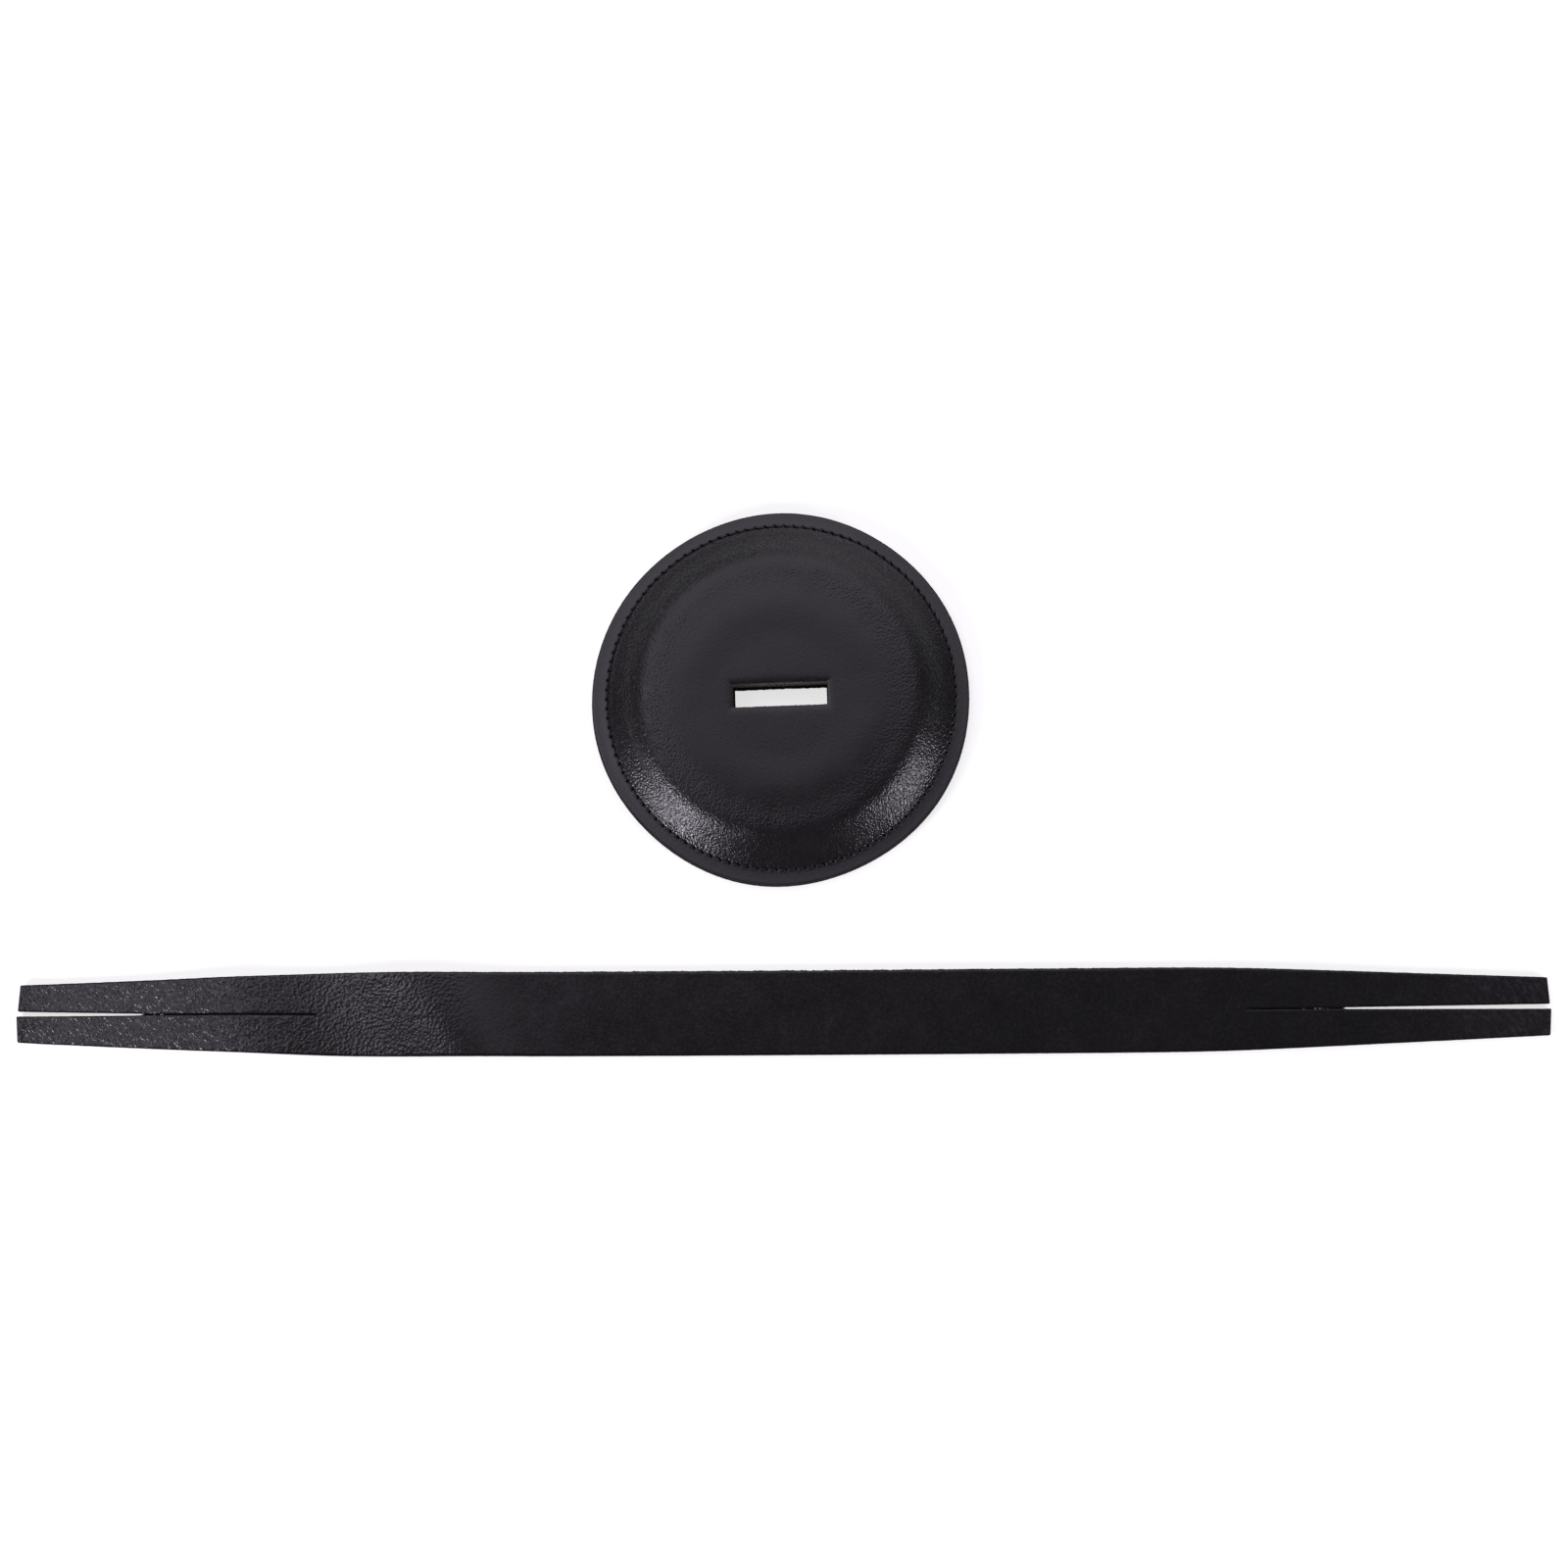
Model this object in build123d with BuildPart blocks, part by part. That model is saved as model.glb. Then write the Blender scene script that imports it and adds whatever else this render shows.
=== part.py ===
from build123d import *
from math import cos, radians, sin
import os

# A hand cymbal pad and strap, lying flat beside each other. Millimetres, origin at the bottom
# centre of the set, +X along the strap and +Z up.

# Pad
pad_diameter = 151.0
pad_height = 15.0
leather = 2.2              # thickness of the cover and of the backing disc
foot_radius = 67.6         # where the dome meets its flange
shoulder_radius = 59.5     # where the dome's side turns into its crown
crown_drop = 1.4           # from the middle of the crown to the shoulder
foot_fillet = 3.0
shoulder_fillet = 20.0
slot_length = 38.0
slot_width = 10.0
slot_turn = 1.6            # degrees, as the pad lies turned beside the strap

# Lockstitch seam around the flange
stitch_count = 114
stitch_radius = 69.9
thread = 0.6
needle_hole = 1.5
groove_width = 1.6
groove_depth = 0.95
thread_gap = 0.05          # between a bow of thread and the leather that it lies on
bow_corner = 0.4           # where a bow of thread turns down into its hole
leg_offset = 0.35          # from the middle of a hole to each of the two legs in it

# Strap
strap_length = 610.0
strap_width = 33.8
strap_thickness = 3.0
tip_width = 23.0
taper_length = 130.0       # from a tip to the knee, where the edges turn parallel
knee_radius = 1500.0
slit_length = 120.0
slit_root_gap = 0.4
slit_tip_gap = 2.4
arm_bend_x = 45.0          # from the strap's middle to the bend of each arm
tail_bend_offset = 20.0    # from the root of a slit to the bend of its tails
bend_gap = 0.1             # between the two leathers that meet at a bend

# Layout
pad_to_strap = 125.9       # from the strap's centreline to the pad's centre
pad_shift = 1.0            # of the pad's centre to the right of the strap's
set_depth = pad_diameter / 2 + pad_to_strap + strap_width / 2
strap_y = strap_width / 2 - set_depth / 2
pad_y = strap_y + pad_to_strap

flange_top = 2 * leather
stitch_angle = 360 / stitch_count
knee_x = strap_length / 2 - taper_length
slit_root_x = strap_length / 2 - slit_length
tail_bend_x = slit_root_x + tail_bend_offset
bend_radius = strap_thickness / 2
end_rounding = 0.97 * bend_radius

pad_plane = Plane((pad_shift, pad_y, 0))
pad_section = Plane((pad_shift, pad_y, 0), x_dir=(1, 0, 0), z_dir=(0, -1, 0))
pad_axis = Axis((pad_shift, pad_y, 0), (0, 0, 1))
slot_plane = pad_plane.rotated((0, 0, slot_turn))
strap_plane = Plane((0, strap_y, 0))

os.makedirs("parts", exist_ok=True)


def dome_outline():
    """Draw half of the cover's outer line: crown, shoulder, side, foot and flange."""
    crown_radius = (shoulder_radius**2 + crown_drop**2) / (2 * crown_drop)
    crown = RadiusArc((0, pad_height), (shoulder_radius, pad_height - crown_drop), crown_radius)
    side = Line(crown @ 1, (foot_radius, flange_top))
    Line(side @ 1, (pad_diameter / 2, flange_top))
    fillet(vertices().sort_by_distance(crown @ 1)[0], radius=shoulder_fillet)
    fillet(vertices().sort_by_distance(side @ 1)[0], radius=foot_fillet)


def thread_bow(run_height):
    """Make one stitch: a run at a height, with a leg at each end to between the leathers."""
    chord = stitch_radius * cos(radians(stitch_angle / 2))
    half_run = stitch_radius * sin(radians(stitch_angle / 2)) - leg_offset
    with BuildPart() as bow:
        with BuildLine(Plane((chord, 0, 0), x_dir=(0, 1, 0), z_dir=(1, 0, 0))) as path:
            FilletPolyline(
                (-half_run, leather),
                (-half_run, run_height),
                (half_run, run_height),
                (half_run, leather),
                radius=bow_corner,
            )
        with BuildSketch(Plane(path.line @ 0, z_dir=path.line % 0)):
            Circle(thread / 2)
        sweep()
    return bow.part


def across_strap(distance, direction):
    """Give the plane across the strap at a distance from its middle, facing that way."""
    return Plane((direction * distance, strap_y, 0), z_dir=(direction, 0, 0))


# Outlines that several pieces share: the slot and the ring of needle holes
with BuildSketch(slot_plane) as slot_outline:
    Rectangle(slot_length, slot_width)
with BuildSketch(pad_plane) as needle_holes:
    with PolarLocations(stitch_radius, stitch_count):
        Circle(needle_hole / 2)

# The cover's leather, moulded but not yet pierced. The felt takes its shape from it.
with BuildPart() as moulded_leather:
    with BuildSketch(pad_section):
        with BuildLine():
            dome_outline()
            offset(amount=leather, side=Side.RIGHT)
        make_face()
    revolve(axis=pad_axis)

# Top cover
with BuildPart() as top_cover:
    add(moulded_leather.part)
    extrude(slot_outline.sketch, amount=pad_height, mode=Mode.SUBTRACT)
    extrude(needle_holes.sketch, amount=flange_top, mode=Mode.SUBTRACT)
top_cover.part.label = "top_cover"
export_step(top_cover.part, "parts/top_cover.step")

# Felt filler, which fills the dome
with BuildPart() as felt_filler:
    with BuildSketch(pad_section):
        with BuildLine():
            dome_outline()
            Polyline(
                (pad_diameter / 2, flange_top),
                (pad_diameter / 2, leather),
                (0, leather),
                (0, pad_height),
            )
        make_face()
    revolve(axis=pad_axis)
    add(moulded_leather.part, mode=Mode.SUBTRACT)
    extrude(slot_outline.sketch, amount=pad_height, mode=Mode.SUBTRACT)
felt_filler.part.label = "felt_filler"
export_step(felt_filler.part, "parts/felt_filler.step")

# Backing disc, with a groove that keeps the lower thread off what the pad lies on
with BuildPart() as backing_disc:
    with BuildSketch(pad_plane):
        Circle(pad_diameter / 2)
    extrude(amount=leather)
    with BuildSketch(pad_plane):
        Circle(stitch_radius + groove_width / 2)
        Circle(stitch_radius - groove_width / 2, mode=Mode.SUBTRACT)
    extrude(amount=groove_depth, mode=Mode.SUBTRACT)
    extrude(slot_outline.sketch, amount=pad_height, mode=Mode.SUBTRACT)
    extrude(needle_holes.sketch, amount=flange_top, mode=Mode.SUBTRACT)
backing_disc.part.label = "backing_disc"
export_step(backing_disc.part, "parts/backing_disc.step")

# The seam's two threads: the needle's bows lie on the flange, the bobbin's in the groove
run_heights = {
    "needle_thread": flange_top + thread_gap + thread / 2,
    "bobbin_thread": groove_depth - thread_gap - thread / 2,
}
for name, run_height in run_heights.items():
    bow = thread_bow(run_height)
    with BuildPart(pad_plane) as seam_thread:
        with PolarLocations(0, stitch_count, stitch_angle / 2):
            add(bow)
    seam_thread.part.label = name
    export_step(seam_thread.part, f"parts/{name}.step")

# The strap as it is cut: one quarter of its outline, with half of a slit, mirrored twice
with BuildPart() as cut_strap:
    with BuildSketch(strap_plane):
        with BuildLine():
            edge = FilletPolyline(
                (0, strap_width / 2),
                (knee_x, strap_width / 2),
                (strap_length / 2, tip_width / 2),
                radius=knee_radius,
            )
            Polyline(
                edge @ 1,
                (strap_length / 2, slit_tip_gap / 2),
                (slit_root_x, slit_root_gap / 2),
                (slit_root_x, 0),
                (0, 0),
                edge @ 0,
            )
        make_face()
        mirror(about=Plane.XZ)
        mirror(about=Plane.YZ)
    extrude(amount=strap_thickness)

# Strap middle, the back of the hand loop
with BuildPart() as strap_middle:
    add(cut_strap.part)
    for direction in (-1, 1):
        end = across_strap(arm_bend_x - bend_radius - bend_gap, direction)
        split(bisect_by=end, keep=Keep.BOTTOM)
strap_middle.part.label = "strap_middle"
export_step(strap_middle.part, "parts/strap_middle.step")

# The strap's two arms and the two tails at the end of each. Where a piece bends against the
# one before it, its end is round about the bend.
for side, direction in (("left", -1), ("right", 1)):
    with BuildPart() as arm:
        add(cut_strap.part)
        root = across_strap(arm_bend_x - bend_radius, direction)
        split(bisect_by=root, keep=Keep.TOP)
        split(bisect_by=across_strap(tail_bend_x - bend_radius - bend_gap, direction), keep=Keep.BOTTOM)
        fillet(edges().filter_by(Axis.Y).sort_by_distance(root.origin)[:2], radius=end_rounding)
    arm.part.label = f"strap_{side}_arm"
    export_step(arm.part, f"parts/strap_{side}_arm.step")
    for row, up in (("upper", 1), ("lower", -1)):
        with BuildPart() as tail:
            add(cut_strap.part)
            root = across_strap(tail_bend_x - bend_radius, direction)
            split(bisect_by=root, keep=Keep.TOP)
            split(bisect_by=Plane((0, strap_y, 0), z_dir=(0, up, 0)), keep=Keep.TOP)
            fillet(edges().filter_by(Axis.Y).sort_by_distance(root.origin)[:2], radius=end_rounding)
        tail.part.label = f"{row}_{side}_tail"
        export_step(tail.part, f"parts/{row}_{side}_tail.step")
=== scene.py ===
import math

import bpy
import numpy as np
from mathutils import Matrix, Vector, noise


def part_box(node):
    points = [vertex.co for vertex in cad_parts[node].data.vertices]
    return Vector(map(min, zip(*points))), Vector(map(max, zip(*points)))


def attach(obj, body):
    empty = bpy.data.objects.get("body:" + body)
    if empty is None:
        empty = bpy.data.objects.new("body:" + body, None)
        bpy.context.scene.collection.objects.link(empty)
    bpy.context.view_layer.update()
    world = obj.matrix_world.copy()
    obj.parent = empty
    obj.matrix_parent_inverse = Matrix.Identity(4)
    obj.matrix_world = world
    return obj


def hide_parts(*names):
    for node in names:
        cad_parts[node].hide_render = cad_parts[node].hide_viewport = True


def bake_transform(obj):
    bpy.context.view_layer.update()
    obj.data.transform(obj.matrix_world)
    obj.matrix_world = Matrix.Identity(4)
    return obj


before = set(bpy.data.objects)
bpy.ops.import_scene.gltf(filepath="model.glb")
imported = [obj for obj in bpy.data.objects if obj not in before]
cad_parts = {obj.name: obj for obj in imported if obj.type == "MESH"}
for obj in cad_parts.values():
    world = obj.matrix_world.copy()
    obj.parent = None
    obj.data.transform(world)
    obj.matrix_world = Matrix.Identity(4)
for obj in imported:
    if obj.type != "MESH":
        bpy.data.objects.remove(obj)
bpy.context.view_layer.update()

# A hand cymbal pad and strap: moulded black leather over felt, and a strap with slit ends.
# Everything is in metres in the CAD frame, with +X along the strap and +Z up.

MM = 0.001

# ---------------------------------------------------------------- places, from the CAD frame

cover_low, cover_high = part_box("top_cover")
middle_low, middle_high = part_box("strap_middle")

PAD = (cover_low + cover_high) / 2
PAD_RADIUS = (cover_high.x - cover_low.x) / 2
LEATHER = cover_low.z
FLANGE_TOP = 2 * LEATHER
CROWN_TOP = cover_high.z
SHOULDER_RADIUS = 50.5 * MM
FOOT_RADIUS = 75.5 * MM
CROWN_DROP = 2.4 * MM
STITCH_RADIUS = 69.9 * MM
STITCHES = 114
SLOT_TURN = math.radians(1.6)
SLOT_HALF_LENGTH = 19.0 * MM
SLOT_HALF_WIDTH = 4.75 * MM

STRAP_Y = (middle_low.y + middle_high.y) / 2
STRAP_HALF = (middle_high.y - middle_low.y) / 2
STRAP_THICK = middle_high.z
STRAP_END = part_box("upper_right_tail")[1].x
TIP_HALF = 11.5 * MM
TAPER = 130.0 * MM
SLIT = 120.0 * MM
SLIT_ROOT = STRAP_END - SLIT


# ---------------------------------------------------------------- helpers

def ease(t):
    """Go from 0 to 1 with level ends, as t does."""
    t = np.clip(t, 0.0, 1.0)
    return t * t * (3.0 - 2.0 * t)


def soft_ease(t):
    """Go from 0 to 1 as ease does, and set off and land more softly."""
    t = np.clip(t, 0.0, 1.0)
    return t ** 3 * (10.0 - 15.0 * t + 6.0 * t * t)


def bump(x, centre, width):
    """A smooth hump of height 1 at a centre, about as wide each way as width."""
    return np.exp(-(((x - centre) / width) ** 2))


def ripple(x, y, size, seed, depth=2):
    """Smooth noise from about -1 to 1 at each place, with features of about one size."""
    flat = np.stack(np.broadcast_arrays(x, y), -1).reshape(-1, 2) / size
    values = [noise.fractal(Vector((a, b, seed)), 0.8, 2.0, depth) for a, b in flat]
    return np.array(values).reshape(np.broadcast(x, y).shape)


def new_object(name, vertices, faces, materials, face_materials, uv=None, sharp=38.0):
    """Make a smooth-shaded mesh object, with its creases sharp and its normals outward."""
    mesh = bpy.data.meshes.new(name)
    mesh.from_pydata(vertices.tolist(), [], faces)
    for material in materials:
        mesh.materials.append(material)
    mesh.polygons.foreach_set("material_index", np.asarray(face_materials, np.int32))
    if uv is not None:
        layer = mesh.uv_layers.new(name="flat")
        corners = np.empty(len(mesh.loops), np.int32)
        mesh.loops.foreach_get("vertex_index", corners)
        layer.data.foreach_set("uv", uv[corners].astype(np.float32).ravel())
    mesh.polygons.foreach_set("use_smooth", np.ones(len(mesh.polygons), bool))
    mesh.set_sharp_from_angle(angle=math.radians(sharp))
    mesh.validate()
    mesh.update()
    obj = bpy.data.objects.new(name, mesh)
    bpy.context.scene.collection.objects.link(obj)
    return obj


def stack_rings(rings):
    """Faces of rings of points that close on themselves both ways, and the ring of each."""
    count, points = rings.shape[:2]
    ring, point = np.meshgrid(np.arange(count), np.arange(points), indexing="ij")
    after, beside = (ring + 1) % count, (point + 1) % points
    corners = (ring * points + point, after * points + point,
               after * points + beside, ring * points + beside)
    return np.stack(corners, -1).reshape(-1, 4).tolist(), ring.ravel()


def stack_sections(count, points):
    """Faces of open stacks of closed sections, and the place round the section of each."""
    ring, point = np.meshgrid(np.arange(count - 1), np.arange(points), indexing="ij")
    beside = (point + 1) % points
    corners = (ring * points + point, (ring + 1) * points + point,
               (ring + 1) * points + beside, ring * points + beside)
    return np.stack(corners, -1).reshape(-1, 4), point.ravel()


# ---------------------------------------------------------------- materials

class Shader:
    """A material under construction, with short calls for its nodes and links."""

    def __init__(self, name):
        self.material = bpy.data.materials.new(name)
        self.material.use_nodes = True
        self.tree = self.material.node_tree
        self.tree.nodes.clear()
        output = self.tree.nodes.new("ShaderNodeOutputMaterial")
        self.surface = self.tree.nodes.new("ShaderNodeBsdfPrincipled")
        self.tree.links.new(self.surface.outputs[0], output.inputs[0])

    def put(self, node, socket, value):
        """Give a socket a value, or link another node's output to it."""
        if isinstance(value, bpy.types.NodeSocket):
            self.tree.links.new(value, node.inputs[socket])
        else:
            node.inputs[socket].default_value = value

    def add(self, kind, inputs, output=0, **settings):
        """Add a node with its settings and inputs, and return one of its outputs."""
        node = self.tree.nodes.new("ShaderNode" + kind)
        for key, value in settings.items():
            setattr(node, key, value)
        for socket, value in inputs.items():
            self.put(node, socket, value)
        return node.outputs[output]

    def place(self, uv):
        """The place on the surface in metres: the flat strap's own, or the object's."""
        if uv:
            return self.add("UVMap", {}, uv_map="flat")
        return self.add("TexCoord", {}, output=3)

    def noise(self, place, scale, detail=3.0, roughness=0.55):
        """Noise from 0 to 1, with features of 1 / scale metres."""
        return self.add("TexNoise", {"Vector": place, "Scale": scale, "Detail": detail,
                                     "Roughness": roughness})

    def fit(self, value, low, high, to_low, to_high):
        """Map a value from one range to another, held at both ends."""
        return self.add("MapRange", {0: value, 1: low, 2: high, 3: to_low, 4: to_high})

    def sum(self, *weighted):
        """Add up pairs of a value and its weight."""
        total = 0.0
        for value, weight in weighted:
            total = self.add("Math", {0: value, 1: weight, 2: total}, operation="MULTIPLY_ADD")
        return total

    def ramp(self, value, *stops):
        """Colour by value, from stops of a position and a colour."""
        node = self.tree.nodes.new("ShaderNodeValToRGB")
        elements = node.color_ramp.elements
        for element, (position, colour) in zip(elements, (stops[0], stops[-1])):
            element.position = position
            element.color = (*colour, 1.0)
        for position, colour in stops[1:-1]:
            elements.new(position).color = (*colour, 1.0)
        self.put(node, 0, value)
        return node.outputs[0]

    def emboss(self, height, strength, distance):
        """Bend the surface's normal as a height of about 0 to 1 asks."""
        normal = self.add("Bump", {"Height": height, "Strength": strength, "Distance": distance})
        self.put(self.surface, "Normal", normal)

    def set(self, **sockets):
        """Set or link the surface's sockets, with _ for a space in their names."""
        for socket, value in sockets.items():
            self.put(self.surface, socket.replace("_", " "), value)


def grain_leather(name, uv, dark, light, rough, pebble, relief, worn_and_sheen_end=None, moulded=False):
    """Finished black leather: pebbles, fine creases between them, and an uneven polish.

    The strap's grain has been raised by bending from the first place given for the worn end
    towards the second, and its tips are scuffed; both ends are painted paler, partly as real
    wear and partly as painted sheen. On the moulded pad the grain is ironed smooth on the crown
    and the flange, and the flange is painted paler as a painted sheen."""
    s = Shader(name)
    place = s.place(uv)
    drift = s.add("TexNoise", {"Vector": place, "Scale": 420.0, "Detail": 2.0}, output=1)
    warped = s.add("VectorMath", {0: drift, 1: (0.0009, 0.0009, 0.0009), 2: place},
                   operation="MULTIPLY_ADD")
    pebbles = s.add("TexVoronoi", {"Vector": warped, "Scale": 1000.0 / pebble,
                                   "Smoothness": 0.5}, feature="SMOOTH_F1")
    creases = s.add("TexVoronoi", {"Vector": warped, "Scale": 300.0 / pebble},
                    feature="DISTANCE_TO_EDGE")
    crease = s.fit(creases, 0.0, 0.09, 0.0, 1.0)
    pores = s.noise(place, 3800.0, 2.0)
    swell = s.noise(place, 140.0, 3.0)
    height = s.sum((pebbles, -1.0), (crease, 0.14), (pores, 0.06), (swell, 1.0))
    strength = relief
    cloud = s.noise(place, 26.0, 4.0)
    polish = s.noise(place, 75.0, 5.0, 0.65)
    wear_and_sheen, scuffs_and_sheen = 0.0, 0.0
    if worn_and_sheen_end is not None:
        along = s.add("SeparateXYZ", {0: place})
        bent = s.fit(along, *worn_and_sheen_end, 0.0, 1.0)
        # Painted paler ends: towards the left end this is partly real wear and partly painted
        # sheen; the second term paints the right tip paler as a painted sheen, standing in for
        # light that a bent-up tip catches.
        wear_and_sheen = s.sum((s.fit(bent, 0.50, 1.0, 0.0, 1.0), 1.0),
                     (s.fit(along, 225 * MM, 300 * MM, 0.0, 0.6), 1.0))
        slanted = s.add("Mapping", {0: place, 2: (0, 0, 0.6), 3: (1.0, 3.0, 1.0)},
                        vector_type="TEXTURE")
        wrinkles = s.noise(slanted, 640.0, 2.0, 0.6)
        # Paler scuffs along the wrinkles, scaled by the ends' mask, so they carry its painted sheen
        # too.
        scuffs_and_sheen = s.add("Math", {0: wear_and_sheen, 1: s.fit(wrinkles, 0.46, 0.62, 0.0, 1.0)},
                       operation="MULTIPLY")
        height = s.sum((height, 1.0), (scuffs_and_sheen, 2.6))
        strength = s.fit(bent, 0.0, 0.16, 0.12 * relief, relief)
    if moulded:
        reach = s.add("VectorMath", {0: place, 1: (PAD.x, PAD.y, FLANGE_TOP)}, output=1,
                      operation="DISTANCE")
        crown = s.fit(reach, SHOULDER_RADIUS - 8 * MM, SHOULDER_RADIUS + 1 * MM, 1.0, 0.0)
        # Painted sheen: the flange beyond the seam gets a paler colour; the same mask also smooths
        # its grain and raises its roughness.
        wear_and_sheen = s.fit(reach, STITCH_RADIUS, STITCH_RADIUS + 1.5 * MM, 0.0, 1.0)
        scuffs_and_sheen = s.sum((wear_and_sheen, 0.9))
        strength = s.sum((crown, -0.85 * relief), (wear_and_sheen, -0.7 * relief), (1.0, relief))
    s.emboss(height, strength, 0.00030)
    # The ends' and the flange's masks lift the colour here: partly real wear, partly painted sheen.
    shade = s.sum((cloud, 0.5), (pebbles, 0.3), (wear_and_sheen, 0.3), (scuffs_and_sheen, 0.55))
    colour = s.ramp(shade, (0.25, dark), (0.60, light), (1.0, [2.8 * part for part in light]))
    roughness = s.sum((polish, 0.20), (pebbles, 0.10), (pores, 0.05), (wear_and_sheen, 0.08),
                      (1.0, rough - 0.17))
    s.set(Base_Color=colour, Roughness=roughness, Specular_IOR_Level=0.5)
    return s.material


def cut_leather(name, uv, dark, light, gloss=0.15):
    """The cut edge of dyed leather: packed fibres, uneven and matt, paler where worn."""
    s = Shader(name)
    place = s.place(uv)
    fibres = s.noise(place, 1500.0, 4.0, 0.7)
    patches = s.noise(place, 160.0, 3.0)
    s.emboss(s.sum((fibres, 1.0), (patches, 0.6)), 0.8, 0.0003)
    s.set(Base_Color=s.ramp(s.sum((fibres, 0.6), (patches, 0.5)), (0.35, dark), (0.8, light)),
          Roughness=s.fit(fibres, 0.2, 0.8, 0.7, 0.95), Specular_IOR_Level=gloss)
    return s.material


def suede(name, uv):
    """The flesh side of dyed leather: a short nap of fibres, brushed in patches."""
    s = Shader(name)
    place = s.place(uv)
    nap = s.noise(place, 1900.0, 4.0, 0.75)
    brushed = s.noise(place, 90.0, 4.0)
    s.emboss(s.sum((nap, 1.0), (brushed, 0.4)), 0.9, 0.0003)
    s.set(Base_Color=s.ramp(s.sum((nap, 0.4), (brushed, 0.6)), (0.3, (0.012, 0.011, 0.011)),
                            (0.75, (0.035, 0.032, 0.031))),
          Roughness=s.fit(nap, 0.2, 0.8, 0.75, 0.97), Sheen_Weight=0.5, Sheen_Roughness=0.5)
    return s.material


def pressed_felt(name):
    """Grey-olive wool felt: matted fibres in layers, with flecks."""
    s = Shader(name)
    place = s.place(False)
    fibres = s.noise(place, 900.0, 5.0, 0.75)
    flecks = s.noise(place, 2600.0, 2.0)
    layers = s.add("TexWave", {"Vector": place, "Scale": 180.0, "Distortion": 9.0,
                               "Detail": 3.0, "Detail Scale": 2.5},
                   wave_type="BANDS", bands_direction="Z")
    s.emboss(s.sum((fibres, 1.0), (flecks, 0.4), (layers, 0.25)), 1.0, 0.0006)
    s.set(Base_Color=s.ramp(s.sum((fibres, 0.7), (flecks, 0.3)), (0.3, (0.012, 0.012, 0.008)),
                            (0.55, (0.060, 0.058, 0.043)), (0.8, (0.15, 0.145, 0.115))),
          Roughness=s.fit(fibres, 0.2, 0.8, 0.82, 0.98), Specular_IOR_Level=0.2,
          Sheen_Weight=0.15, Sheen_Roughness=0.6)
    return s.material


def waxed_thread(name):
    """Black bonded thread: two plies twisted together, with a dull wax."""
    s = Shader(name)
    place = s.place(True)
    twist = s.add("TexWave", {"Vector": place, "Scale": 420.0, "Distortion": 1.0},
                  wave_type="BANDS", bands_direction="DIAGONAL")
    fuzz = s.noise(place, 3200.0, 3.0)
    s.emboss(s.sum((twist, 1.0), (fuzz, 0.4)), 0.8, 0.00012)
    s.set(Base_Color=s.ramp(s.sum((twist, 0.5), (fuzz, 0.5)), (0.25, (0.005, 0.005, 0.005)),
                            (0.8, (0.022, 0.021, 0.022))),
          Roughness=s.fit(fuzz, 0.2, 0.8, 0.5, 0.75), Specular_IOR_Level=0.4)
    return s.material


def pale_floor(name):
    """The plain pale surface that the set lies on."""
    s = Shader(name)
    place = s.place(False)
    tooth = s.noise(place, 60.0, 3.0)
    s.emboss(tooth, 0.05, 0.0004)
    s.set(Base_Color=s.ramp(tooth, (0.3, (0.50, 0.50, 0.50)), (0.7, (0.53, 0.53, 0.53))),
          Roughness=s.fit(tooth, 0.3, 0.7, 0.85, 0.95), Specular_IOR_Level=0.2,
          Emission_Color=(1, 1, 1, 1), Emission_Strength=0.70)
    return s.material


pad_leather = grain_leather("pad_leather", False, (0.0050, 0.0044, 0.0056),
                            (0.0090, 0.0080, 0.0100), rough=0.30, pebble=0.85, relief=0.55,
                            moulded=True)
strap_leather = grain_leather("strap_leather", True, (0.0050, 0.0045, 0.0055),
                              (0.0090, 0.0082, 0.0098), rough=0.225, pebble=1.25, relief=0.42,
                              worn_and_sheen_end=(-120 * MM, -250 * MM))
pad_edge = cut_leather("pad_cut_edge", False, (0.004, 0.0038, 0.0038), (0.026, 0.024, 0.022))
strap_edge = cut_leather("strap_cut_edge", True, (0.010, 0.009, 0.008), (0.090, 0.084, 0.074))
# Painted shade: a near-black, low-gloss edge material for the top rounding of the strap's edges,
# where shade falls.
strap_shade_edge = cut_leather("strap_painted_shade_edge", True, (0.002, 0.002, 0.002),
                            (0.007, 0.0065, 0.006), gloss=0.05)
pad_flesh = suede("pad_flesh_side", False)
strap_flesh = suede("strap_flesh_side", True)
felt = pressed_felt("grey_felt")
thread = waxed_thread("black_thread")


# ---------------------------------------------------------------- the pad's shape

def outline(angle):
    """How far the hand-cut rim stands from a circle, as a share of the radius."""
    waves = ((2, 0.0037, 0.36), (3, 0.0021, -0.80), (4, 0.0029, -0.07), (5, 0.0015, -0.59),
             (6, 0.0019, 0.40))
    return sum(depth * np.cos(count * (angle - turn)) for count, depth, turn in waves)


def slot_loop(angle, grow=0.0):
    """Points of the slot's edge as seen at each angle from its middle, in the pad's plane."""
    along, across = np.cos(angle), np.sin(angle)
    reach = np.minimum((SLOT_HALF_LENGTH + grow) / np.maximum(np.abs(along), 1e-9),
                       (SLOT_HALF_WIDTH + grow) / np.maximum(np.abs(across), 1e-9))
    x, y = along * reach, across * reach
    turn_cos, turn_sin = math.cos(SLOT_TURN), math.sin(SLOT_TURN)
    return np.stack([x * turn_cos - y * turn_sin, x * turn_sin + y * turn_cos], -1)


def skin(radius):
    """Height of the cover's outer face: a nearly flat crown, falling in an S to the seam."""
    crown = CROWN_TOP - CROWN_DROP * (radius / FOOT_RADIUS) ** 4
    share = (radius - SHOULDER_RADIUS) / (FOOT_RADIUS - SHOULDER_RADIUS)
    return crown + (FLANGE_TOP - crown) * soft_ease(share)


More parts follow.
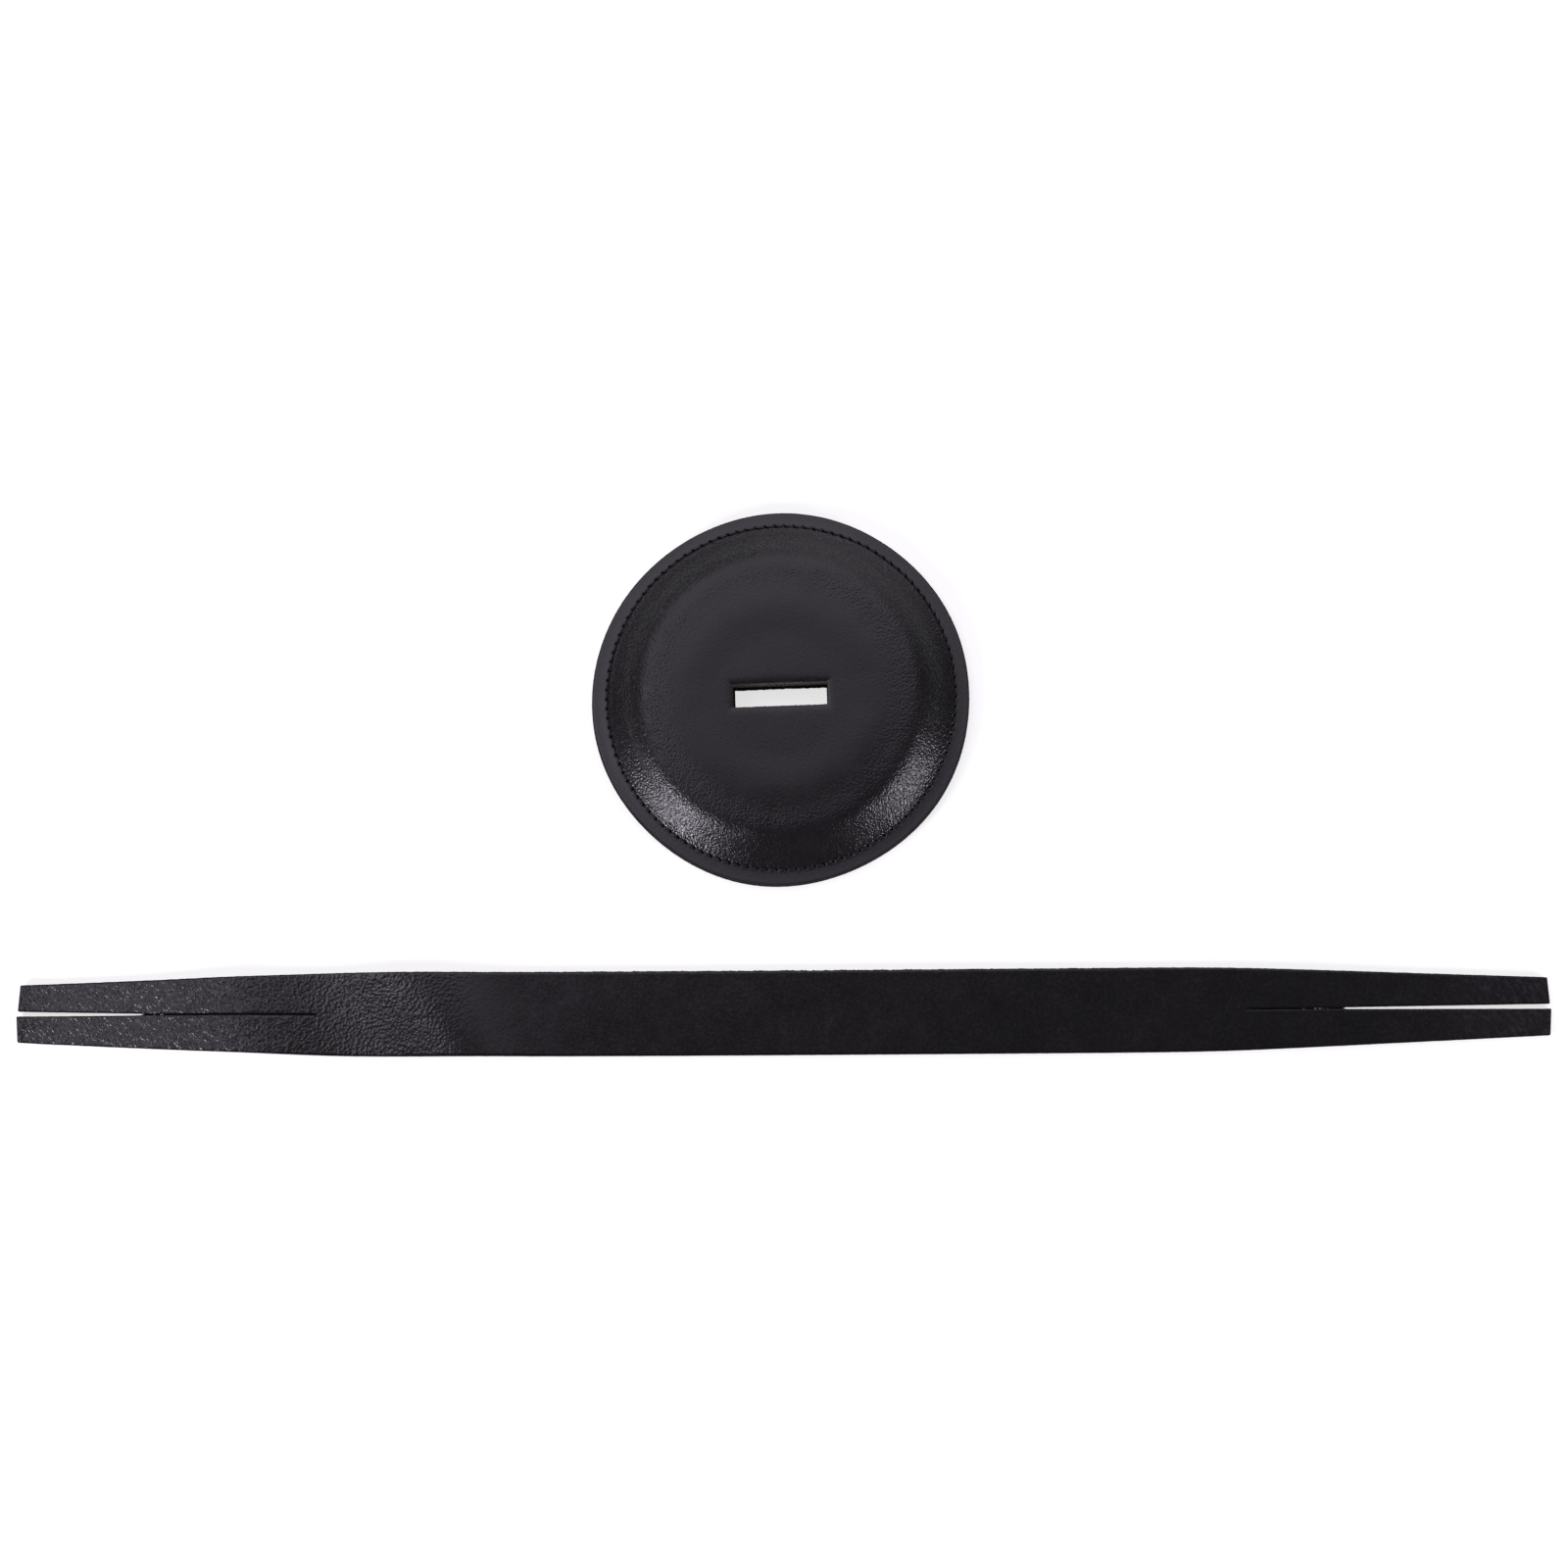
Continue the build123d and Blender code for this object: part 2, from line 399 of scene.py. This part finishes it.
def disc_rings(angles, radii, grow=0.0):
    """Rings from the slot's edge out to each radius, as places in the pad's plane.

    They turn from the slot's outline into circles on the way to a radius of 30 mm."""
    loop = slot_loop(angles, grow)
    circle_radius = 30.0 * MM
    turned = angles + SLOT_TURN
    circle = np.stack([np.cos(turned), np.sin(turned)], -1)
    rings = []
    for radius in radii:
        if radius < circle_radius:
            share = radius / circle_radius
            rings.append(loop * (1 - share) + circle * circle_radius * share)
        else:
            rings.append(circle * radius)
    return np.array(rings)


def puffed(rings_flat, heights):
    """How far each point rises when the cover is pressed up from inside as cloth.

    It is held at its seam and its slot."""
    count, points = rings_flat.shape[:2]
    vertices = np.concatenate([rings_flat, heights[..., None]], -1).reshape(-1, 3)
    faces, _ = stack_sections(count, points)
    obj = new_object("cover_form", vertices, faces.tolist(), [], np.zeros(len(faces)))
    radius = np.hypot(vertices[:, 0], vertices[:, 1])
    hold = obj.vertex_groups.new(name="held")
    for index in range(len(vertices)):
        if index < points or radius[index] > STITCH_RADIUS - 1 * MM:
            hold.add([index], 1.0, "REPLACE")
    cloth = obj.modifiers.new("Cloth", "CLOTH")
    cloth.settings.quality = 6
    cloth.settings.mass = 0.4
    cloth.settings.tension_stiffness = 30
    cloth.settings.compression_stiffness = 30
    cloth.settings.bending_stiffness = 6
    cloth.settings.use_pressure = True
    cloth.settings.uniform_pressure_force = 4
    cloth.settings.vertex_group_mass = "held"
    cloth.settings.effector_weights.gravity = 0
    cloth.point_cache.frame_start = 1
    cloth.point_cache.frame_end = 20
    for number in range(1, 21):
        bpy.context.scene.frame_set(number)
    solved = obj.evaluated_get(bpy.context.evaluated_depsgraph_get())
    moved = np.array([v.co for v in solved.to_mesh().vertices]).reshape(count, points, 3)
    solved.to_mesh_clear()
    bpy.data.objects.remove(obj)
    bpy.context.scene.frame_set(1)
    return moved[..., 2] - heights


SECTORS = 10 * STITCHES
sector_angles = np.arange(SECTORS) * 2 * math.pi / SECTORS
disc_radii = np.concatenate([
    [0.0, 0.35],
    np.linspace(2, 30, 15)[:-1],
    np.linspace(30, 54, 11)[:-1],
    np.linspace(54, 67, 17)[:-1],
    np.linspace(67, 71.8, 17),
    [72.6, 73.4, 74.0],
]) * MM


def rim_rings(angles, outer, low, high, rounding, seed):
    """Rings round a disc's cut edge, from its upper face down to its lower face."""
    turned = angles + SLOT_TURN
    direction = np.stack([np.cos(turned), np.sin(turned)], -1)
    ragged = 0.07 * MM * ripple(direction[:, 0], direction[:, 1], 0.012, seed)
    steps = []
    for degrees in (90, 60, 30, 0):
        inset = rounding * (1 - math.cos(math.radians(degrees)))
        rise = rounding * (1 - math.sin(math.radians(degrees)))
        steps.append((inset, high - rise))
    steps.append((0.0, (low + high) / 2))
    steps += [(inset, low + high - height) for inset, height in reversed(steps[:4])]
    rings = []
    for inset, height in steps:
        radius = outer - inset + ragged
        rings.append(np.column_stack([direction * radius[:, None], np.full(len(angles), height)]))
    return np.array(rings)


def lift(flat, height):
    """Give flat rings a height, one for all points or one each."""
    return np.concatenate([flat, np.broadcast_to(height, flat.shape[:2])[..., None]], -1)


def at_pad(points):
    """Move points from the pad's own middle to its place in the set."""
    return np.reshape(points, (-1, 3)) + np.array((PAD.x, PAD.y, 0))


def cloth_rise():
    """How far pressing lifts each point of the cover, solved on every tenth sector."""
    angles, radii = sector_angles[::10], disc_radii[::2]
    flat = disc_rings(angles, radii)
    heights = skin(np.hypot(flat[..., 0], flat[..., 1]))
    rise = np.clip(puffed(flat, heights), -0.6 * MM, 0.6 * MM)
    closed = np.concatenate([rise, rise[:, :1]], 1)
    around = np.array([np.interp(sector_angles, np.append(angles, 2 * math.pi), row)
                       for row in closed])
    return np.array([np.interp(disc_radii, radii, column) for column in around.T]).T


def cover_height(flat, radius):
    """Height of the cover's outer face, with its unevenness, one dent, the slot and the seam.

    The radius is each point's before the rim was cut out of round."""
    x, y = flat[..., 0], flat[..., 1]
    height = skin(radius) + cloth_rise() * ease((radius - 22 * MM) / (20 * MM))
    height += 0.22 * MM * bump(radius, 61 * MM, 9 * MM) * ripple(x, y, 0.028, 3.0)
    from_dent = (np.degrees(np.arctan2(y, x)) + 153 + 180) % 360 - 180
    height -= 0.45 * MM * bump(radius, 62.5 * MM, 1.6 * MM) * bump(from_dent, 0.0, 14.0)
    height += 0.10 * MM * ripple(x, y, 0.05, 8.0) * ease((PAD_RADIUS - radius) / (20 * MM))
    height -= 0.35 * MM * edge_fall(flat)
    return height + stitch_relief(flat)


def make_top_cover():
    """The moulded cover: crown, shoulder, flange with its needle holes, rim and slot."""
    outer = PAD_RADIUS * (1 + outline(sector_angles + SLOT_TURN))
    flat = disc_rings(sector_angles, disc_radii)
    radius = np.hypot(flat[..., 0], flat[..., 1])
    near_rim = ease((radius - STITCH_RADIUS) / (PAD_RADIUS - STITCH_RADIUS))
    flat *= (1 + (outer / PAD_RADIUS - 1) * near_rim)[..., None]
    top = lift(flat, cover_height(flat, radius))
    rim = rim_rings(sector_angles, outer, LEATHER, FLANGE_TOP, 0.45 * MM, 2.0)
    inner_radii = np.array([70, 68, 66, 64, 62, 60, 58, 56, 54, 50, 42, 30, 14, 0]) * MM
    inner_flat = disc_rings(sector_angles, inner_radii)
    inner_radius = np.hypot(inner_flat[..., 0], inner_flat[..., 1])
    inner = lift(inner_flat, felt_top(inner_radius) + 0.05 * MM)
    wall = np.array([inner[-1] * (1 - s) + top[0] * s for s in (0.25, 0.5, 0.75)])
    rings = np.concatenate([top, rim, inner, wall])

    # the slot's hand-cut edge and wall
    ragged = 0.16 * MM * ripple(rings[..., 0], rings[..., 1] + rings[..., 2], 0.0011, 5.0)
    rings[..., 1] += ragged * bump(np.arange(len(rings)), 0, 1.2)[:, None]
    rings[-4:, :, 1] += ragged[-4:]

    # grain outside, cut leather at the rim and the slot, suede inside
    faces, ring = stack_rings(rings)
    finish = np.zeros(len(faces), int)
    finish[(ring >= len(top)) & (ring < len(top) + len(rim) - 1)] = 1
    finish[ring >= len(top) + len(rim) - 1] = 2
    finish[(ring >= len(rings) - 4) | (ring == 0)] = 1
    return new_object("moulded_cover", at_pad(rings), faces, [pad_leather, pad_edge, pad_flesh],
                      finish)


def felt_top(radius):
    """Height of the felt under the cover, one leather inside its outer face."""
    return skin(radius + 1.2 * MM) - LEATHER


def edge_fall(flat):
    """How near each point is to the slot's edge, where the leather is pressed down."""
    turn_cos, turn_sin = math.cos(SLOT_TURN), math.sin(SLOT_TURN)
    along = np.abs(flat[..., 0] * turn_cos + flat[..., 1] * turn_sin) - SLOT_HALF_LENGTH
    across = np.abs(flat[..., 1] * turn_cos - flat[..., 0] * turn_sin) - SLOT_HALF_WIDTH
    away = np.hypot(np.clip(along, 0, None), np.clip(across, 0, None))
    return np.exp(-away / (0.9 * MM))


def seam_places():
    """The needle holes' angles and radii, a little uneven, as a hand guides the seam."""
    number = np.arange(STITCHES)
    angle = 2 * math.pi * number / STITCHES
    wander = 0.25 * MM * np.sin(2 * angle + 0.6) + 0.35 * MM * np.cos(angle - 1.3)
    wander += 0.10 * MM * ripple(number * 1.0, number * 0.0, 3.0, 4.0)
    return angle, STITCH_RADIUS + wander


def stitch_relief(flat):
    """The needle holes' funnels and the shallow furrow that the tight thread draws."""
    hole_angle, hole_radius = seam_places()
    angle = np.arctan2(flat[..., 1], flat[..., 0]) % (2 * math.pi)
    radius = np.hypot(flat[..., 0], flat[..., 1])
    nearest = np.round(angle / (2 * math.pi) * STITCHES).astype(int) % STITCHES
    turn = (angle - hole_angle[nearest] + math.pi) % (2 * math.pi) - math.pi
    seam_radius = np.interp(angle, np.append(hole_angle, 2 * math.pi),
                            np.append(hole_radius, hole_radius[0]))
    off = radius - seam_radius
    ahead, beside = turn * radius, radius - hole_radius[nearest]
    lean = math.radians(28)
    along = ahead * math.cos(lean) + beside * math.sin(lean)
    across = beside * math.cos(lean) - ahead * math.sin(lean)
    away = np.hypot(along / (0.68 * MM), across / (0.36 * MM))
    furrow = 0.14 * MM * np.exp(-(off / (0.45 * MM)) ** 2)
    funnel = 1.2 * MM * np.exp(-away ** 2)
    return -(furrow + funnel)


def make_felt():
    """The felt filler, whose fuzzy wall shows inside the slot."""
    angles = np.arange(456) * 2 * math.pi / 456
    top_radii = np.array([0, 6, 18, 30, 42, 50, 54, 56, 58, 60, 62, 64, 66, 67.5]) * MM
    top_flat = disc_rings(angles, top_radii, 0.30 * MM)
    top_radius = np.hypot(top_flat[..., 0], top_flat[..., 1])
    top = lift(top_flat, felt_top(top_radius))
    bottom = top[::-1].copy()
    bottom[..., 2] = LEATHER + 0.02 * MM
    steps = np.linspace(0, 1, 26)[1:-1]
    wall = np.array([bottom[-1] * (1 - s) + top[0] * s for s in steps])
    outward = wall[..., :2] / np.linalg.norm(wall[..., :2], axis=-1, keepdims=True)
    fuzz = ripple(wall[..., 0] * 1.0 + wall[..., 1], wall[..., 2], 0.0009, 1.0, 3)
    wall[..., :2] -= outward * (0.05 * MM + 0.30 * MM * fuzz)[..., None]
    rings = np.concatenate([top, bottom, wall])
    faces, _ = stack_rings(rings)
    return new_object("felt_disc", at_pad(rings), faces, [felt], np.zeros(len(faces)))


def make_backing():
    """The flat backing leather, with the bobbin thread's groove in its underside."""
    outer = (PAD_RADIUS + 0.05 * MM) * (1 + outline(sector_angles + SLOT_TURN))
    outer = outer + 0.40 * MM * bump((np.degrees(sector_angles) - 238 + 180) % 360 - 180, 0, 50)
    rim = rim_rings(sector_angles, outer, 0.0, LEATHER, 0.4 * MM, 6.0)
    narrower = -0.55 * MM
    top_radii = np.array([0.0, 1.0, 12.0, 30.0, 50.0, 66.0, 72.0]) * MM
    top = lift(disc_rings(sector_angles, top_radii, narrower), LEATHER)
    under_radii = np.concatenate([[73.4], np.linspace(72.2, 66.6, 15), [62, 50, 30, 12, 0]]) * MM
    under_flat = disc_rings(sector_angles, under_radii, narrower)
    under_radius = np.hypot(under_flat[..., 0], under_flat[..., 1])
    groove = 0.85 * MM * ease(1.6 - np.abs(under_radius - STITCH_RADIUS) / (0.62 * MM))
    under = lift(under_flat, groove)
    steps = np.linspace(0, 1, 6)[1:-1]
    wall = np.array([under[-1] * (1 - s) + top[0] * s for s in steps])
    rings = np.concatenate([top, rim, under, wall])
    ragged = 0.22 * MM * ripple(rings[..., 0], rings[..., 1], 0.0016, 7.0)
    rings[..., 1] += ragged * (np.hypot(rings[..., 0], rings[..., 1]) < 20 * MM)
    faces, ring = stack_rings(rings)
    finish = np.zeros(len(faces), int)
    finish[(ring >= len(top)) | (ring == 0)] = 1
    finish[ring >= len(top) + len(rim) - 1] = 0
    finish[ring >= len(rings) - len(wall) - 1] = 1
    return new_object("backing_leather", at_pad(rings), faces, [pad_leather, pad_edge], finish)


def groove_floor(radius):
    """Height of the backing's underside within the bobbin thread's groove."""
    return np.full_like(radius, 0.62 * MM)


def make_thread(name, face, side):
    """One of the seam's threads: a bow for each stitch, sunk into a hole at both ends.

    The face gives the leather's height at a radius."""
    hole_angle, hole_radius = seam_places()
    sides, radius = 8, 0.24 * MM
    share = np.array([0.0, 0.05, 0.12, 0.22, 0.36, 0.5, 0.64, 0.78, 0.88, 0.95, 1.0])
    sink = np.array([1.5, 0.75, 0.18, -0.06, -0.16, -0.19, -0.16, -0.06, 0.18, 0.75, 1.5]) * MM
    slant = 0.16 * MM
    vertices, faces, uv = [], [], []
    for number in range(STITCHES):
        after = (number + 1) % STITCHES
        a = hole_angle[number]
        b = hole_angle[after] + (2 * math.pi if after == 0 else 0)
        start = np.array([math.cos(a), math.sin(a)]) * (hole_radius[number] - slant)
        end = np.array([math.cos(b), math.sin(b)]) * (hole_radius[after] + slant)
        run = (end - start) / np.linalg.norm(end - start)
        start, end = start + run * 0.3 * MM, end - run * 0.3 * MM
        beside = np.array([-run[1], run[0], 0.0])
        line = start + (end - start) * share[:, None]
        height = face(np.linalg.norm(line, axis=1)) - side * sink
        line = np.concatenate([line, height[:, None]], 1)
        ahead = np.gradient(line, axis=0)
        ahead /= np.linalg.norm(ahead, axis=1, keepdims=True)
        across = np.cross(ahead, beside)
        first = len(vertices)
        turn = np.arange(sides) * 2 * math.pi / sides
        for step, centre in enumerate(line):
            for t in turn:
                outward = math.cos(t) * beside + math.sin(t) * across[step]
                vertices.append(centre + radius * outward)
                uv.append((step * 0.35 * MM + number * 0.011, t * radius))
        for step in range(len(line) - 1):
            for t in range(sides):
                low, high = first + step * sides, first + (step + 1) * sides
                beyond = (t + 1) % sides
                faces.append((low + t, low + beyond, high + beyond, high + t))
        faces.append(tuple(range(first + sides - 1, first - 1, -1)))
        last = first + (len(line) - 1) * sides
        faces.append(tuple(range(last, last + sides)))
    return new_object(name, at_pad(vertices), faces, [thread], np.zeros(len(faces)),
                      np.array(uv), sharp=60.0)


# ---------------------------------------------------------------- the strap's shape

def strap_half(x):
    """Half the strap's width: even along the middle, tapered to the tips."""
    inset = np.clip(np.abs(x) - (STRAP_END - TAPER), -40 * MM, None)
    slope = (STRAP_HALF - TIP_HALF) / TAPER
    soft = 11 * MM
    return STRAP_HALF - slope * soft * np.log1p(np.exp(np.clip(inset / soft, -30, 30)))


def strap_bow(x):
    """How far the strap's centreline lies off straight, from how it was laid down."""
    share = x / STRAP_END
    return 1.05 * MM * (share ** 2 - 0.5) * (1 - 0.35 * share)


def strap_rise(x, y):
    """How far the strap stands off the surface along its gentle waves."""
    across = y - STRAP_Y
    rise = 2.6 * MM * bump(x + 0.3 * across, -217 * MM, 24 * MM)
    rise += 2.7 * MM * bump(x + 0.7 * across, -136 * MM, 25 * MM)
    rise += 1.0 * MM * np.clip((-x - 291 * MM) / (14 * MM), 0, None) ** 2
    rise += 0.5 * MM * bump(x, 205 * MM, 40 * MM) + 0.3 * MM * bump(x, 60 * MM, 60 * MM)
    return rise + 0.15 * MM * (1 + ripple(x, y, 0.07, 2.0))


def creases(x, y):
    """Depth of the creases across the strap, where it has been bent and straightened."""
    lean = 0.18 * (y - STRAP_Y)
    depth = 0.0
    for place, width, strength in ((-243.5, 0.7, 0.16), (-240.0, 0.9, 0.20), (-236.5, 0.8, 0.15),
                                   (-232.0, 1.1, 0.10), (178.5, 0.5, 0.10), (181.0, 0.6, 0.07)):
        wander = 1.3 * MM * ripple(y, x * 0, 0.009, place * 0.37)
        depth = depth + strength * MM * bump(x, place * MM + wander + lean, width * MM)
    return depth * (0.6 + 0.4 * ripple(x, y, 0.006, 9.0))


def slit_half(x):
    """Half the slit's gap: a tight cut from its root, a few torn gaps, then open to the tip."""
    along = (np.abs(x) - SLIT_ROOT) / SLIT
    opening = np.where(x < 0, 0.58, 0.32)
    spread = np.clip((along - opening) / (1 - opening), 0.0, 1.0)
    closed = (opening - along) * SLIT
    torn = 0.30 * MM * np.clip(ripple(x, x * 0, 0.0016, 5.0) - 0.15, 0, None)
    torn *= bump(closed, 8 * MM, 6 * MM)
    return 0.02 * MM + torn + 0.32 * MM * ease(-closed / (1.2 * MM)) + 0.62 * MM * spread


def strap_section(x, low, high, inset, rounding, columns):
    """The points round one section of the strap, and where each lies on the flat leather.

    The inset shrinks the section all round, to round off a tip."""
    arc = np.radians(np.linspace(90, -90, 7))
    curve = max(rounding - inset, 0.02 * MM)
    y_in, y_out = low + inset + curve, high - inset - curve
    y_top = np.linspace(y_in, y_out, columns)
    straight = STRAP_THICK / 2 - inset - curve
    upper = np.stack([y_top, np.full(columns, STRAP_THICK - inset)], -1)
    right = np.stack([y_out + curve * np.cos(arc),
                      STRAP_THICK / 2 + straight * np.sign(np.round(arc, 3)) + curve * np.sin(arc)],
                     -1)[1:-1]
    lower = np.stack([y_top[::-1], np.full(columns, inset)], -1)
    left = right[::-1].copy()
    left[:, 0] = y_in - (left[:, 0] - y_out)
    loop = np.concatenate([upper, right, lower, left])
    steps = np.linalg.norm(np.diff(loop, axis=0), axis=1)
    around = np.concatenate([[0], np.cumsum(steps)]) + y_in
    along = np.full(len(loop), x)
    return np.column_stack([along, loop]), np.column_stack([along, around])


def strap_piece(name, start, end, low_edge, high_edge, columns, tip_slant=None):
    """A length of strap as a closed solid between two edges, given as functions of x."""
    rounding = 0.5 * MM
    stations = np.linspace(start, end, max(2, int(abs(end - start) / (0.8 * MM))))
    shrink = np.zeros(len(stations))
    if tip_slant is not None:
        direction = math.copysign(1.0, end - start)
        turn = np.radians([30.0, 60.0, 90.0])
        stations = np.concatenate([stations[:-1], [end - direction * rounding],
                                   end - direction * rounding * (1 - np.sin(turn))])
        shrink = np.concatenate([np.zeros(len(stations) - 3), rounding * (1 - np.cos(turn))])
    low, high = low_edge(stations), high_edge(stations)
    sections, flat = zip(*[strap_section(x, y_low, y_high, inset, rounding, columns)
                           for x, y_low, y_high, inset in zip(stations, low, high, shrink)])
    rings, uv = np.array(sections), np.array(flat)

    # round a section: grain side, an edge with painted shade on its top rounding, flesh side, the
    # other edge
    finish_round = np.array([0] * (columns - 1) + [3, 3, 1, 1, 1, 1]
                            + [2] * (columns - 1) + [1, 1, 1, 1, 3, 3])
    x, y, z = rings[..., 0].copy(), rings[..., 1].copy(), rings[..., 2].copy()
    if tip_slant is not None:
        near_tip = ease(1 - np.abs(end - x) / (12 * MM))
        centre = (low[-1] + high[-1]) / 2
        rings[..., 0] += near_tip * tip_slant * (y - centre)
    far_edge = y > STRAP_HALF / 3
    fray = 0.07 * MM + 0.32 * MM * far_edge * bump(x, 20 * MM, 150 * MM)
    ragged = fray * ripple(x + z, y * 0.3, 0.0016, 6.0) * (finish_round > 0)
    rings[..., 1] += STRAP_Y + strap_bow(x) + ragged
    top = ease((z / STRAP_THICK - 0.5) * 2)
    rings[..., 2] += strap_rise(x, y + STRAP_Y) - creases(x, y + STRAP_Y) * top
    count, points = rings.shape[:2]
    faces, place = stack_sections(count, points)
    faces = faces.tolist() + [list(range(points - 1, -1, -1)),
                              [(count - 1) * points + p for p in range(points)]]
    if end > start:
        faces = [face[::-1] for face in faces]
    finish = np.append(finish_round[place], [1, 1])
    return new_object(name, rings.reshape(-1, 3), faces,
                      [strap_leather, strap_edge, strap_flesh, strap_shade_edge], finish,
                      uv.reshape(-1, 2))


def make_strap():
    """The strap's two half bands and its four tails."""
    for side, direction in (("left", -1), ("right", 1)):
        root, arm = direction * SLIT_ROOT, f"strap_{side}_arm"
        band = strap_piece(f"{side}_band", 0.0, root, lambda x: -strap_half(x), strap_half, 40)
        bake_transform(band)
        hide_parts(arm, "strap_middle")
        for row in ("upper", "lower"):
            tail = f"{row}_{side}_tail"
            slant = {"upper": -0.08, "lower": 0.06}[row] * direction
            if row == "upper":
                edges = (slit_half, strap_half)
                reach = STRAP_END - 0.6 * MM
            else:
                edges = (lambda x: -strap_half(x), lambda x: -slit_half(x))
                reach = STRAP_END
            piece = strap_piece(f"{tail}_leather", root, direction * reach, *edges, 22, slant)
            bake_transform(piece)
            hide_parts(tail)


# ---------------------------------------------------------------- stage

def make_floor():
    """A large plain surface under the set."""
    reach = 12.0
    corners = np.array([(-reach, -reach, 0), (reach, -reach, 0), (reach, reach, 0),
                        (-reach, reach, 0)])
    floor = new_object("floor", corners, [(0, 1, 2, 3)], [pale_floor("pale_floor")], [0])


def add_softbox(name, target, bearing, lean, distance, width, height, brightness):
    """A soft rectangular light, seen from its target at a bearing and a lean from overhead."""
    light = bpy.data.lights.new(name, "AREA")
    light.shape = "RECTANGLE"
    light.size, light.size_y = width, height
    light.energy = math.pi * width * height * brightness
    light.color = (1.0, 0.93, 1.06)
    turn, lean = math.radians(bearing), math.radians(lean)
    away = Vector((math.sin(lean) * math.cos(turn), math.sin(lean) * math.sin(turn),
                   math.cos(lean)))
    obj = bpy.data.objects.new(name, light)
    obj.location = Vector(target) + away * distance
    obj.rotation_euler = away.to_track_quat("Z", "Y").to_euler()
    bpy.context.scene.collection.objects.link(obj)


def make_lights():
    """Two panels over the back, a softbox at each front corner and one over the strap's
    left tip, and a dim surround."""
    pad, strap_tip = (PAD.x, PAD.y, 0.0), (-STRAP_END, STRAP_Y, 0.0)
    add_softbox("back_panel", pad, 104, 36, 1.45, 2.3, 1.50, 1.06)
    add_softbox("low_back_panel", pad, 66, 70, 1.4, 2.0, 0.6, 0.50)
    add_softbox("front_left_softbox", pad, 220, 66, 1.1, 0.22, 0.34, 28.0)
    add_softbox("front_right_softbox", pad, 329, 68, 1.1, 0.18, 0.26, 26.0)
    add_softbox("left_softbox", strap_tip, 160, 13.5, 1.3, 0.26, 0.26, 4.0)
    world = bpy.data.worlds.new("surround")
    world.use_nodes = True
    world.node_tree.nodes["Background"].inputs[0].default_value = (1, 1, 1, 1)
    world.node_tree.nodes["Background"].inputs[1].default_value = 0.07
    bpy.context.scene.world = world


def make_camera():
    """A long lens well above the set, leaning a little to the front and the right."""
    distance, frame_width = 1.6, 0.6295
    lean_front, lean_right, roll = math.radians(7.8), math.radians(1.8), math.radians(0.44)
    target = Vector((0.0020, -0.0006, 0.0))
    back = Vector((math.tan(lean_right), -math.tan(lean_front), 1.0)).normalized()
    right = Vector((math.cos(roll), -math.sin(roll), 0.0))
    right = (right - right.dot(back) * back).normalized()
    up = back.cross(right)
    data = bpy.data.cameras.new("camera")
    data.sensor_width = 36.0
    data.lens = data.sensor_width * distance / frame_width
    data.clip_start = 0.1
    camera = bpy.data.objects.new("camera", data)
    camera.matrix_world = Matrix.Translation(target + back * distance) @ Matrix(
        (right, up, back)).transposed().to_4x4()
    bpy.context.scene.collection.objects.link(camera)
    bpy.context.scene.camera = camera


# ---------------------------------------------------------------- the set

make_camera()
make_lights()
make_floor()

for piece, node, finish in (
    (make_top_cover(), "top_cover", "pad_leather"),
    (make_felt(), "felt_filler", "felt"),
    (make_backing(), "backing_disc", "pad_leather"),
    (make_thread("upper_stitches", skin, 1), "needle_thread", "thread"),
    (make_thread("lower_stitches", groove_floor, -1), "bobbin_thread", "thread"),
):
    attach(piece, "pad")
    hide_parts(node)
make_strap()

bpy.context.scene.view_settings.view_transform = "Standard"
